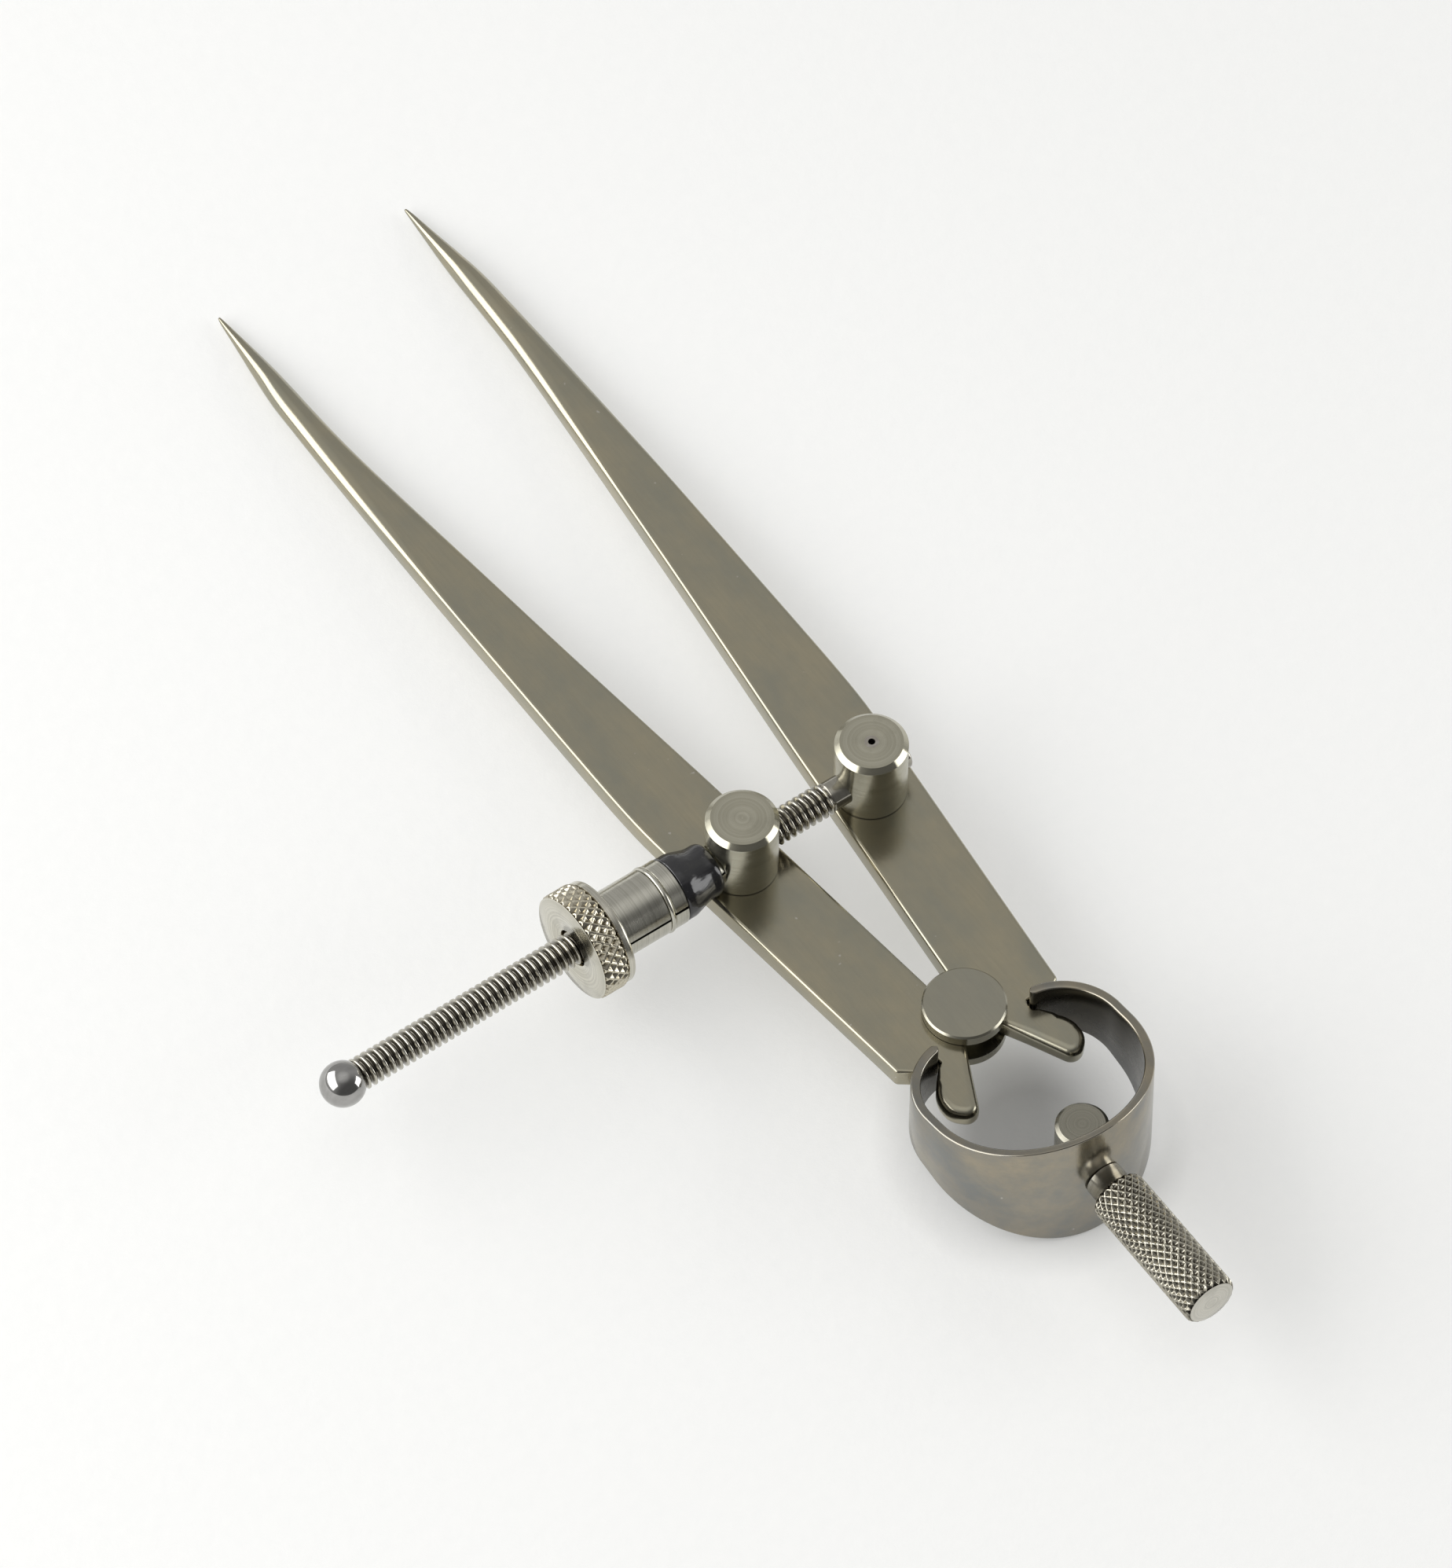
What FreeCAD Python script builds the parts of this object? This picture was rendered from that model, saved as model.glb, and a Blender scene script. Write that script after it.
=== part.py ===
import FreeCAD, Part
import Sketcher
import math
import os

# Spring divider: two flat pointed legs rock on a grooved stud, a bow spring pushes them
# apart, and a quick nut on a screw between two swivel posts sets the opening.
# Millimetres. The origin is the centre of the stud's lower face, +Z is normal to the legs,
# +Y runs from the handle to the points, and the screw lies along X with its ball at -X.

doc = FreeCAD.newDocument("spring_divider")

DIMENSIONS = {
    # fulcrum stud
    "stud_height": 6.8,
    "stud_flange_r": 5.84,
    "stud_flange_thick": 1.65,
    "stud_core_r": 3.0,
    "stud_edge": 0.25,
    "running_gap": 0.05,
    # legs, in each leg's own axes: u outward from the line stud-to-point, v along it
    "leg_thick": 3.3,
    "leg_reach": 152.4,
    "leg_half_angle": 5.89,
    "leg_outer_u": 13.7,
    "leg_inner_u": 1.1,
    "leg_edge_round": 0.55,
    "taper_start_v": 48.0,
    "taper_blend_v": 57.0,
    "taper_blend_u": 13.15,
    "taper_blend_r": 82.0,
    "point_start_v": 123.0,
    "point_start_u": 5.9,
    "point_curve_r": 210.0,
    "point_blank_half": 1.3,
    "point_tip_r": 0.1,
    "point_lean": 0.135,
    "point_ogive_len": 15.4,
    "point_ogive_r": 1.95,
    "point_ogive_bend": 250.0,
    "point_cone_len": 31.0,
    "point_cone_r": 3.3,
    # the notch that holds the bow's end, and the lobe inside the bow
    "shoulder_v": -1.5,
    "lip_u": 11.59,
    "lip_v": -3.23,
    "notch_gap": 0.2,
    "notch_depth_u": 8.06,
    "notch_top_v": -2.63,
    "notch_floor_u": 8.25,
    "notch_floor_v": -4.43,
    "notch_end_u": 8.95,
    "notch_end_v": -4.58,
    "lobe_root_u": 2.15,
    "lobe_tip_u": 8.75,
    "lobe_tip_v": -12.9,
    "lobe_end_u": 10.7,
    "lobe_end_v": -13.4,
    "lobe_side_u": 12.8,
    "lobe_side_v": -11.0,
    "lobe_back_u": 12.1,
    "lobe_back_v": -7.6,
    "lobe_round": 1.9,
    # bow spring
    "bow_r": 16.4,
    "bow_thick": 1.4,
    "bow_centre_y": -15.6,
    "bow_corner_r": 9.5,
    "bow_corner_y": -13.1,
    "bow_end_x": 8.6,
    "bow_end_half": 4.8,
    "bow_end_cap": 0.53,
    "bow_back_half": 11.6,
    "bow_edge_r": 67.0,
    "bow_hole_r": 2.0,
    # handle and its nut
    "handle_r": 3.97,
    "handle_len": 21.7,
    "handle_chamfer": 0.4,
    "stem_end_y": -24.2,
    "neck_r": 2.8,
    "neck_len": 3.0,
    "stem_r": 1.9,
    "barrel_r": 3.7,
    "barrel_half": 6.9,
    "barrel_chamfer": 0.5,
    # swivel posts
    "post_u": 7.0,
    "post_v": 37.49,
    "post_r": 5.08,
    "post_height": 11.3,
    "post_chamfer": 0.7,
    "shank_r": 2.5,
    "washer_r": 4.2,
    "washer_thick": 0.8,
    # adjusting screw
    "screw_z": 9.0,
    "screw_r": 2.415,
    "screw_plain_r": 2.15,
    "screw_plain_x": 3.6,
    "screw_end_out": 0.5,
    "screw_edge": 0.3,
    "screw_bore_gap": 0.08,
    "ball_r": 3.25,
    "ball_flat": 2.275,
    "ball_x": -77.2,
    "spigot_r": 1.6,
    "spigot_len": 3.0,
    "pin_r": 1.0,
    "pin_bore_r": 0.5,
    "pin_len": 10.0,
    # quick nut, measured along the screw from the left post's axis
    "seat_depth": 1.1,
    "seat_r": 3.35,
    "jaw_start": 4.5,
    "jaw_tip_r": 2.7,
    "jaw_neck_r": 2.88,
    "jaw_bore_gap": 0.03,
    "jaw_clear_r": 2.8,
    "thread_end": 10.6,
    "sleeve_start": 5.25,
    "sleeve_end": 12.0,
    "sleeve_front_r": 3.4,
    "sleeve_waist_r": 3.85,
    "sleeve_back_r": 4.75,
    "sleeve_rim_len": 0.9,
    "sleeve_waist_len": 1.75,
    "sleeve_flare_len": 1.6,
    "sleeve_flare_drop": 0.3,
    "sleeve_lip_len": 0.5,
    "sleeve_small_bend": 1.6,
    "sleeve_flare_bend": 6.0,
    "band_end": 14.24,
    "band_r": 4.85,
    "groove_r": 4.25,
    "wire_r": 0.38,
    "ring_gap": 0.8,
    "barrel_start": 15.04,
    "nut_barrel_r": 4.9,
    "head_start": 22.99,
    "head_end": 28.29,
    "head_r": 7.95,
    "head_web": 1.3,
    "head_round": 0.5,
    "head_edge": 0.3,
    "jaw_spigot_r": 4.2,
    "jaw_spigot_end": 26.6,
    "jaw_swing_gap": 0.3,
    "jaw_edge": 0.15,
    "head_bore_gap": 0.1,
    "screw_hole_r": 2.75,
    "jaw_slot": 0.4,
    "jaw_slot_turn": 15.5,
    "jaw_slot_step": 0.4,
}

sheet = doc.addObject("Spreadsheet::Sheet", "Sheet")
for row, (alias, value) in enumerate(DIMENSIONS.items(), start=1):
    sheet.set(f"A{row}", alias)
    sheet.set(f"B{row}", str(value))
    sheet.setAlias(f"B{row}", alias)
doc.recompute()


class Dim:
    """A number with the sheet expression that it comes from."""

    def __init__(self, value, text):
        self.value = value
        self.text = text

    def _join(self, sign, other, value):
        return Dim(value, f"({self.text} {sign} {dim(other).text})")

    def __add__(self, other):
        return self._join("+", other, self.value + dim(other).value)

    def __sub__(self, other):
        return self._join("-", other, self.value - dim(other).value)

    def __mul__(self, other):
        return self._join("*", other, self.value * dim(other).value)

    def __truediv__(self, other):
        return self._join("/", other, self.value / dim(other).value)

    def __neg__(self):
        return Dim(-self.value, f"(0 - {self.text})")

    __radd__ = __add__
    __rmul__ = __mul__


def dim(number):
    return number if isinstance(number, Dim) else Dim(float(number), f"({float(number):.6g})")


def cell(alias):
    return Dim(DIMENSIONS[alias], f"Sheet.{alias}")


def sine(angle):
    return Dim(math.sin(math.radians(angle.value)), f"sin({angle.text} * 1 deg)")


def cosine(angle):
    return Dim(math.cos(math.radians(angle.value)), f"cos({angle.text} * 1 deg)")


def root(number):
    return Dim(math.sqrt(number.value), f"sqrt({number.text})")


def bind(target, **settings):
    """Give properties their values and tie them to the sheet."""
    for name, number in settings.items():
        setattr(target, name, dim(number).value)
        target.setExpression(name, dim(number).text)


def place(target, x=0, y=0, z=0, axis=(0, 0, 1), angle=0):
    """Set a Placement and tie its position and angle to the sheet."""
    spot = [dim(x), dim(y), dim(z)]
    turn = FreeCAD.Rotation(FreeCAD.Vector(*axis), dim(angle).value)
    target.Placement = FreeCAD.Placement(FreeCAD.Vector(*[s.value for s in spot]), turn)
    for name, number in zip("xyz", spot):
        target.setExpression(f"Placement.Base.{name}", number.text)
    if isinstance(angle, Dim):
        target.setExpression("Placement.Rotation.Angle", angle.text)


# ---------------------------------------------------------------- sketches and features

def origin_plane(body, role):
    return next(item for item in body.Origin.OriginFeatures if item.Role == role)


def pin_down(sketch, index, end, point):
    """Hold one sketch point at its bound distances from the sketch's axes."""
    for kind, number, axis_line in (("DistanceX", point[0], -2), ("DistanceY", point[1], -1)):
        if abs(dim(number).value) < 1e-9:
            sketch.addConstraint(Sketcher.Constraint("PointOnObject", index, end, axis_line))
            continue
        where = Sketcher.Constraint(kind, -1, 1, index, end, dim(number).value)
        added = sketch.addConstraint(where)
        sketch.setExpression(f"Constraints[{added}]", dim(number).text)


def arc_centre(start, end, radius):
    """Centre of the short arc; a positive radius keeps it left of the chord."""
    mid = (start + end) * 0.5
    chord = end - start
    offset = math.sqrt(radius * radius - chord.Length ** 2 / 4)
    left = FreeCAD.Vector(-chord.y, chord.x, 0).normalize()
    return mid + left * math.copysign(offset, radius)


def outline(body, role, steps):
    """Closed sketch from (u, v, radius) steps; radius bends the edge that leads to the point."""
    sketch = body.newObject("Sketcher::SketchObject", "Outline")
    sketch.AttachmentSupport = [(origin_plane(body, role), "")]
    sketch.MapMode = "FlatFace"
    points = [FreeCAD.Vector(dim(s[0]).value, dim(s[1]).value, 0) for s in steps]
    count = len(steps)
    ends = []
    for i in range(count):
        start, end = points[i - 1], points[i]
        radius = steps[i][2] if len(steps[i]) > 2 else None
        if radius is None:
            index = sketch.addGeometry(Part.LineSegment(start, end))
            ends.append((index, 1, 2, None))
            continue
        bend = dim(radius).value
        centre = arc_centre(start, end, bend)
        first, last = (start, end) if bend > 0 else (end, start)
        angles = [math.atan2(p.y - centre.y, p.x - centre.x) for p in (first, last)]
        circle = Part.Circle(centre, FreeCAD.Vector(0, 0, 1), abs(bend))
        index = sketch.addGeometry(Part.ArcOfCircle(circle, angles[0], angles[1]))
        ends.append((index, 1, 2, radius) if bend > 0 else (index, 2, 1, radius))
    for i in range(count):
        index, first, last, radius = ends[i]
        following = ends[(i + 1) % count]
        sketch.addConstraint(Sketcher.Constraint("Coincident", index, last, following[0], following[1]))
        pin_down(sketch, index, last, steps[i])
        if radius is not None:
            size = abs(dim(radius).value)
            added = sketch.addConstraint(Sketcher.Constraint("Radius", index, size))
            sign = "" if dim(radius).value > 0 else "-"
            sketch.setExpression(f"Constraints[{added}]", sign + dim(radius).text)
    return sketch


def new_body(label):
    body = doc.addObject("PartDesign::Body", label)
    body.Label = label
    return body


def pad(body, sketch, length):
    feature = body.newObject("PartDesign::Pad", "Pad")
    feature.Profile = sketch
    feature.SideType = "Symmetric"
    bind(feature, Length=length)
    return feature


def pocket(body, sketch):
    feature = body.newObject("PartDesign::Pocket", "Pocket")
    feature.Profile = sketch
    feature.SideType = "Symmetric"
    feature.Type = "ThroughAll"
    return feature


def round_hole(body, role, x, y, radius):
    """Through hole, both ways from the sketch plane."""
    sketch = body.newObject("Sketcher::SketchObject", "HoleCircle")
    sketch.AttachmentSupport = [(origin_plane(body, role), "")]
    sketch.MapMode = "FlatFace"
    centre = FreeCAD.Vector(dim(x).value, dim(y).value, 0)
    circle = Part.Circle(centre, FreeCAD.Vector(0, 0, 1), dim(radius).value)
    index = sketch.addGeometry(circle)
    pin_down(sketch, index, 3, (x, y))
    added = sketch.addConstraint(Sketcher.Constraint("Radius", index, dim(radius).value))
    sketch.setExpression(f"Constraints[{added}]", dim(radius).text)
    return pocket(body, sketch)


def turned(label, steps):
    """Body of revolution about its own Y axis, from (radius, y, bend) steps in the XY plane."""
    body = new_body(label)
    sketch = outline(body, "XY_Plane", steps)
    spin = body.newObject("PartDesign::Revolution", "Revolution")
    spin.Profile = sketch
    spin.ReferenceAxis = (sketch, ["V_Axis"])
    spin.Angle = 360.0
    return body


UPRIGHT = {"axis": (1, 0, 0), "angle": 90}
ALONG_MINUS_X = {"axis": (0, 0, 1), "angle": 90}
ALONG_X = {"axis": (0, 1, 0), "angle": 90}
ALONG_Y = {"axis": (1, 0, 0), "angle": -90}


def cylinder(radius, height, x=0, y=0, z=0, axis=(0, 0, 1), angle=0):
    solid = doc.addObject("Part::Cylinder", "Cylinder")
    bind(solid, Radius=radius, Height=height)
    place(solid, x, y, z, axis, angle)
    return solid


def block(size, x, y, z, axis=(0, 0, 1), angle=0):
    solid = doc.addObject("Part::Box", "Block")
    bind(solid, Length=size[0], Width=size[1], Height=size[2])
    place(solid, x, y, z, axis, angle)
    return solid


def cut(label, base, *tools):
    """Base less the tools; the last cut carries the label."""
    for tool in tools:
        result = doc.addObject("Part::Cut", "Cut")
        result.Base = base
        result.Tool = tool
        base = result
    base.Label = label
    return base


# ---------------------------------------------------------------- legs

half_angle = cell("leg_half_angle")
mid_z = cell("stud_height") / 2
post_x = cell("post_v") * sine(half_angle) + cell("post_u") * cosine(half_angle)
post_y = cell("post_v") * cosine(half_angle) - cell("post_u") * sine(half_angle)


def leg_outline(side):
    """Steps round a leg blank, starting at the inner corner of its pointed end."""
    seat_r = cell("stud_core_r") + cell("running_gap")
    seat_v = root(seat_r * seat_r - cell("leg_inner_u") * cell("leg_inner_u"))
    lobe_root_v = -root(seat_r * seat_r - cell("lobe_root_u") * cell("lobe_root_u"))
    outside_bow_r = cell("bow_corner_r") + cell("notch_gap")
    inside_bow_r = cell("bow_corner_r") - cell("bow_thick") - cell("notch_gap")
    path = [
        (-cell("point_blank_half"), cell("leg_reach")),
        (cell("leg_inner_u"), cell("point_start_v")),
        (cell("leg_inner_u"), seat_v),
        (cell("lobe_root_u"), lobe_root_v, -seat_r),
        (cell("lobe_tip_u"), cell("lobe_tip_v")),
        (cell("lobe_end_u"), cell("lobe_end_v")),
        (cell("lobe_side_u"), cell("lobe_side_v")),
        (cell("lobe_back_u"), cell("lobe_back_v")),
        (cell("notch_end_u"), cell("notch_end_v")),
        (cell("notch_floor_u"), cell("notch_floor_v"), inside_bow_r),
        (cell("notch_depth_u"), cell("notch_top_v")),
        (cell("lip_u"), cell("lip_v"), -outside_bow_r),
        (cell("leg_outer_u"), cell("shoulder_v")),
        (cell("leg_outer_u"), cell("taper_start_v")),
        (cell("taper_blend_u"), cell("taper_blend_v"), cell("taper_blend_r")),
        (cell("point_start_u"), cell("point_start_v")),
        (cell("point_blank_half"), cell("leg_reach"), cell("point_curve_r")),
    ]
    return [(step[0] * side, step[1], *[bend * side for bend in step[2:]]) for step in path]


def round_edges(body, feature, radius, wanted):
    """Fillet the edges of a feature that the test picks."""
    names = [f"Edge{i}" for i, edge in enumerate(feature.Shape.Edges, start=1) if wanted(edge)]
    fillet = body.newObject("PartDesign::Fillet", "EdgeRound")
    fillet.Base = (feature, names)
    bind(fillet, Radius=radius)
    return fillet


def sharpen(body, side):
    """Turn the pointed end to an ogive about an axis that leans outward from the tip."""
    lean = cell("point_lean")
    length = root(lean * lean + 1)

    def on_axis(along, away, bend=None):
        u = (lean * along + away) / length
        v = cell("leg_reach") - (along - lean * away) / length
        return (u * side, v) if bend is None else (u * side, v, bend * -side)

    start, end, clear_r = dim(-1), cell("point_cone_len"), cell("leg_outer_u")
    sketch = outline(body, "XY_Plane", [
        on_axis(start, cell("point_tip_r") / 2), on_axis(dim(0), cell("point_tip_r")),
        on_axis(cell("point_ogive_len"), cell("point_ogive_r"), cell("point_ogive_bend")),
        on_axis(end, cell("point_cone_r")), on_axis(end, clear_r), on_axis(start, clear_r)])
    ends = [FreeCAD.Vector(u.value, v.value, 0)
            for u, v in (on_axis(start, dim(0)), on_axis(end, dim(0)))]
    sketch.addGeometry(Part.LineSegment(*ends), True)
    groove = body.newObject("PartDesign::Groove", "PointOgive")
    groove.Profile = sketch
    groove.ReferenceAxis = (sketch, ["Axis0"])
    groove.Angle = 360.0
    return groove


def make_leg(label, side):
    """Flat leg; side is +1 for the right leg and -1 for its mirror twin."""
    body = new_body(label)
    blank = pad(body, outline(body, "XY_Plane", leg_outline(side)), cell("leg_thick"))
    doc.recompute()
    top = cell("leg_thick").value / 2
    lobe_start = cell("lobe_back_v").value + 0.1

    def on_lobe_corner(edge):
        return abs(edge.CenterOfMass.z) < 1e-6 and edge.CenterOfMass.y < lobe_start

    def on_rim(edge):
        return abs(abs(edge.CenterOfMass.z) - top) < 1e-6

    blank = round_edges(body, blank, cell("lobe_round"), on_lobe_corner)
    doc.recompute()
    round_edges(body, blank, cell("leg_edge_round"), on_rim)
    sharpen(body, side)
    round_hole(body, "XY_Plane", cell("post_u") * side, cell("post_v"),
               cell("shank_r") + cell("running_gap"))
    place(body, z=mid_z, angle=half_angle * -side)
    return body


# ---------------------------------------------------------------- stud, bow and handle

def make_stud():
    """Spool whose groove takes both legs."""
    edge = cell("stud_edge")
    flange, core = cell("stud_flange_r"), cell("stud_core_r")
    lower, top = cell("stud_flange_thick"), cell("stud_height")
    stud = turned("fulcrum_stud", [
        (0, 0), (flange - edge, 0), (flange, edge), (flange, lower), (core, lower),
        (core, top - lower), (flange, top - lower), (flange, top - edge), (flange - edge, top),
        (0, top)])
    place(stud, **UPRIGHT)
    return stud


def bow_outline():
    """Steps round the edge of the bent band, both ways from its rounded ends."""
    radius, corner_r, thick = cell("bow_r"), cell("bow_corner_r"), cell("bow_thick")
    corner_x = radius - corner_r
    reach = cell("bow_end_x") - corner_x
    outer_end = cell("bow_corner_y") + root(corner_r * corner_r - reach * reach)
    inner_r = corner_r - thick
    inner_end = cell("bow_corner_y") + root(inner_r * inner_r - reach * reach)
    cap = -(thick * cell("bow_end_cap"))
    wall = radius - thick
    back = cell("bow_centre_y")
    return [
        (cell("bow_end_x"), outer_end, cap),
        (radius, cell("bow_corner_y"), -corner_r), (radius, back),
        (0, back - radius, -radius), (-radius, back, -radius),
        (-radius, cell("bow_corner_y")), (-cell("bow_end_x"), outer_end, -corner_r),
        (-cell("bow_end_x"), inner_end, cap),
        (-wall, cell("bow_corner_y"), inner_r), (-wall, back),
        (0, back - wall, wall), (wall, back, wall),
        (wall, cell("bow_corner_y")), (cell("bow_end_x"), inner_end, inner_r)]


def make_bow():
    """Flat band bent to a bow, widest at the handle and narrow at its hooked ends."""
    body = new_body("bow_spring")
    back_y = cell("bow_centre_y") - cell("bow_r")
    front_y = cell("bow_corner_y") + cell("bow_corner_r")
    tall = cell("bow_back_half")
    pad(body, outline(body, "XY_Plane", bow_outline()), tall * 2)
    for side in (1, -1):
        pocket(body, outline(body, "YZ_Plane", [
            (front_y, cell("bow_end_half") * side, cell("bow_edge_r") * side),
            (front_y, (tall + 1) * side), (back_y, (tall + 1) * side),
            (back_y, tall * side)]))
    round_hole(body, "XZ_Plane", dim(0), dim(0), cell("bow_hole_r"))
    place(body, z=mid_z)
    return body


def make_handle():
    """Knurled grip, thinner neck and a stem that passes through the bow."""
    back_y = cell("bow_centre_y") - cell("bow_r")
    grip_y = back_y - cell("neck_len")
    end_y = grip_y - cell("handle_len")
    grip, edge = cell("handle_r"), cell("handle_chamfer")
    handle = turned("handle", [
        (0, cell("stem_end_y")), (0, end_y), (grip - edge, end_y), (grip, end_y + edge),
        (grip, grip_y - edge), (grip - edge, grip_y), (cell("neck_r"), grip_y),
        (cell("neck_r"), back_y), (cell("stem_r"), back_y), (cell("stem_r"), cell("stem_end_y"))])
    place(handle, z=mid_z)
    return handle


def make_handle_nut():
    """Upright barrel inside the bow with a blind hole for the stem."""
    half, radius, edge = cell("barrel_half"), cell("barrel_r"), cell("barrel_chamfer")
    inside_y = cell("bow_centre_y") - cell("bow_r") + cell("bow_thick")
    centre_y = inside_y + radius + cell("running_gap")
    barrel = turned("handle_nut_blank", [
        (0, -half), (radius - edge, -half), (radius, edge - half), (radius, half - edge),
        (radius - edge, half), (0, half)])
    place(barrel, y=centre_y, z=mid_z, **UPRIGHT)
    hole = cylinder(cell("stem_r") + cell("running_gap"), cell("stem_end_y") - inside_y + 1,
                    y=inside_y - 1, z=mid_z, **ALONG_Y)
    return cut("handle_nut", barrel, hole)


# ---------------------------------------------------------------- posts and screw

def make_post(label, side):
    """Swivel post with a riveted shank; its bore takes the screw."""
    base = mid_z + cell("leg_thick") / 2 + cell("running_gap")
    foot = mid_z - cell("leg_thick") / 2 - cell("running_gap") - cell("washer_thick")
    top = base + cell("post_height")
    radius, edge = cell("post_r"), cell("post_chamfer")
    blank = turned(label + "_blank", [
        (0, foot), (cell("shank_r"), foot), (cell("shank_r"), base), (radius, base),
        (radius, top - edge), (radius - edge, top), (0, top)])
    place(blank, x=post_x * side, y=post_y, **UPRIGHT)
    screw_z = cell("screw_z")
    if side > 0:
        bore = cylinder(cell("screw_plain_r"), radius * 3, x=post_x - radius * 1.5, y=post_y,
                        z=screw_z, **ALONG_X)
        pin_hole = cylinder(cell("pin_r"), cell("pin_len"), x=post_x, y=post_y,
                            z=top - cell("pin_len"))
        return cut(label, blank, bore, pin_hole)
    gap_r = cell("screw_r") + cell("screw_bore_gap")
    bore = cylinder(gap_r, radius * 3, x=-post_x - radius * 1.5, y=post_y, z=screw_z, **ALONG_X)
    seat = doc.addObject("Part::Cone", "Seat")
    bind(seat, Radius1=cell("seat_r"), Radius2=gap_r, Height=cell("seat_depth"))
    place(seat, x=-post_x - radius, y=post_y, z=screw_z, **ALONG_X)
    return cut(label, blank, bore, seat)


def make_washer(label, side):
    """Washer that the end of the shank is riveted over."""
    under = mid_z - cell("leg_thick") / 2 - cell("running_gap") - cell("washer_thick")
    spot = {"x": post_x * side, "y": post_y, "z": under}
    return cut(label, cylinder(cell("washer_r"), cell("washer_thick"), **spot),
               cylinder(cell("shank_r"), cell("washer_thick"), **spot))


def make_screw():
    """Threaded spindle with a plain end that is pinned in the right post."""
    far_x = post_x + cell("post_r") + cell("screw_end_out")
    plain = far_x - cell("screw_plain_x")
    threaded = far_x - cell("ball_x") - cell("ball_flat")
    end = threaded + cell("spigot_len")
    edge = cell("screw_edge")
    screw = turned("adjusting_screw_blank", [
        (0, 0), (cell("screw_plain_r") - edge, 0), (cell("screw_plain_r"), edge),
        (cell("screw_plain_r"), plain), (cell("screw_r"), plain), (cell("screw_r"), threaded),
        (cell("spigot_r"), threaded), (cell("spigot_r"), end), (0, end)])
    place(screw, x=far_x, y=post_y, z=cell("screw_z"), **ALONG_MINUS_X)
    pin_hole = cylinder(cell("pin_r"), cell("screw_r") * 4, x=post_x, y=post_y,
                        z=cell("screw_z") - cell("screw_r") * 2)
    return cut("adjusting_screw", screw, pin_hole)


def make_ball():
    """Ball with a flat and a blind hole for the screw's spigot."""
    radius = cell("ball_r")
    flat = cell("ball_flat")
    flat_r = root(radius * radius - flat * flat)
    depth = cell("spigot_len") - flat
    ball = turned("screw_ball", [
        (0, radius, radius), (0, depth), (cell("spigot_r"), depth), (cell("spigot_r"), -flat),
        (flat_r, -flat)])
    place(ball, x=cell("ball_x"), y=post_y, z=cell("screw_z"), **ALONG_MINUS_X)
    return ball


def make_pin():
    """Hollow roll pin that locks the screw in the right post."""
    top = mid_z + cell("leg_thick") / 2 + cell("running_gap") + cell("post_height")
    spot = {"x": post_x, "y": post_y, "z": top - cell("pin_len")}
    return cut("screw_pin", cylinder(cell("pin_r"), cell("pin_len"), **spot),
               cylinder(cell("pin_bore_r"), cell("pin_len"), **spot))


# ---------------------------------------------------------------- quick nut

def on_screw(target, along=0):
    """Place a nut piece on the screw, measured from the left post's axis towards the ball."""
    place(target, x=-post_x - along, y=post_y, z=cell("screw_z"), **ALONG_MINUS_X)


def make_sleeve():
    """Rubber nose over the necks of the jaws."""
    inner = cell("jaw_neck_r") + cell("running_gap") / 2
    start, end = cell("sleeve_start"), cell("sleeve_end") - cell("running_gap")
    waist, back = cell("sleeve_waist_r"), cell("sleeve_back_r")
    small_bend, flare_bend = cell("sleeve_small_bend"), -cell("sleeve_flare_bend")
    sleeve = turned("nut_nose_sleeve", [
        (inner, start), (cell("sleeve_front_r"), start),
        (waist, start + cell("sleeve_rim_len"), small_bend),
        (waist, start + cell("sleeve_waist_len")),
        (back - cell("sleeve_flare_drop"), end - cell("sleeve_flare_len"), flare_bend),
        (back, end - cell("sleeve_lip_len"), small_bend), (back, end), (inner, end)])
    on_screw(sleeve)
    return sleeve


def jaw_blank():
    """Both jaws as one turned piece: threaded nose, band, ring groove, barrel and spigot."""
    tip = cell("screw_r") + cell("jaw_bore_gap")
    edge = cell("jaw_edge")
    band, barrel = cell("band_r"), cell("nut_barrel_r")
    neck, groove = cell("jaw_neck_r"), cell("groove_r")
    back = cell("head_start") - cell("jaw_swing_gap")
    blank = turned("jaw_blank", [
        (tip, cell("jaw_start")), (cell("jaw_tip_r"), cell("jaw_start")),
        (neck, cell("sleeve_start")), (neck, cell("sleeve_end")), (band - edge, cell("sleeve_end")),
        (band, cell("sleeve_end") + edge), (band, cell("band_end") - edge),
        (band - edge, cell("band_end")), (groove, cell("band_end")), (groove, cell("barrel_start")),
        (barrel - edge, cell("barrel_start")), (barrel, cell("barrel_start") + edge),
        (barrel, back), (cell("jaw_spigot_r"), back),
        (cell("jaw_spigot_r"), cell("jaw_spigot_end")),
        (cell("jaw_clear_r"), cell("jaw_spigot_end")), (cell("jaw_clear_r"), cell("thread_end")),
        (tip, cell("thread_end"))])
    on_screw(blank)
    return blank


def half_space(side, start, end, lift):
    """Half cylinder on one side of the slot, lifted off the screw's axis."""
    turn = cell("jaw_slot_turn")
    up = (0, sine(turn), cosine(turn))
    half = doc.addObject("Part::Cylinder", "HalfSpace")
    bind(half, Radius=cell("head_r"), Height=end - start, Angle=180)
    spot = [-post_x - end, post_y + up[1] * lift, cell("screw_z") + up[2] * lift]
    normal = FreeCAD.Vector(0, up[1].value * side, up[2].value * side)
    along = FreeCAD.Vector(1, 0, 0)
    turned_to = FreeCAD.Rotation(normal.cross(along), normal, along)
    half.Placement = FreeCAD.Placement(FreeCAD.Vector(*[s.value for s in spot]), turned_to)
    for name, number in zip("xyz", spot):
        half.setExpression(f"Placement.Base.{name}", number.text)
    return half


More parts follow.
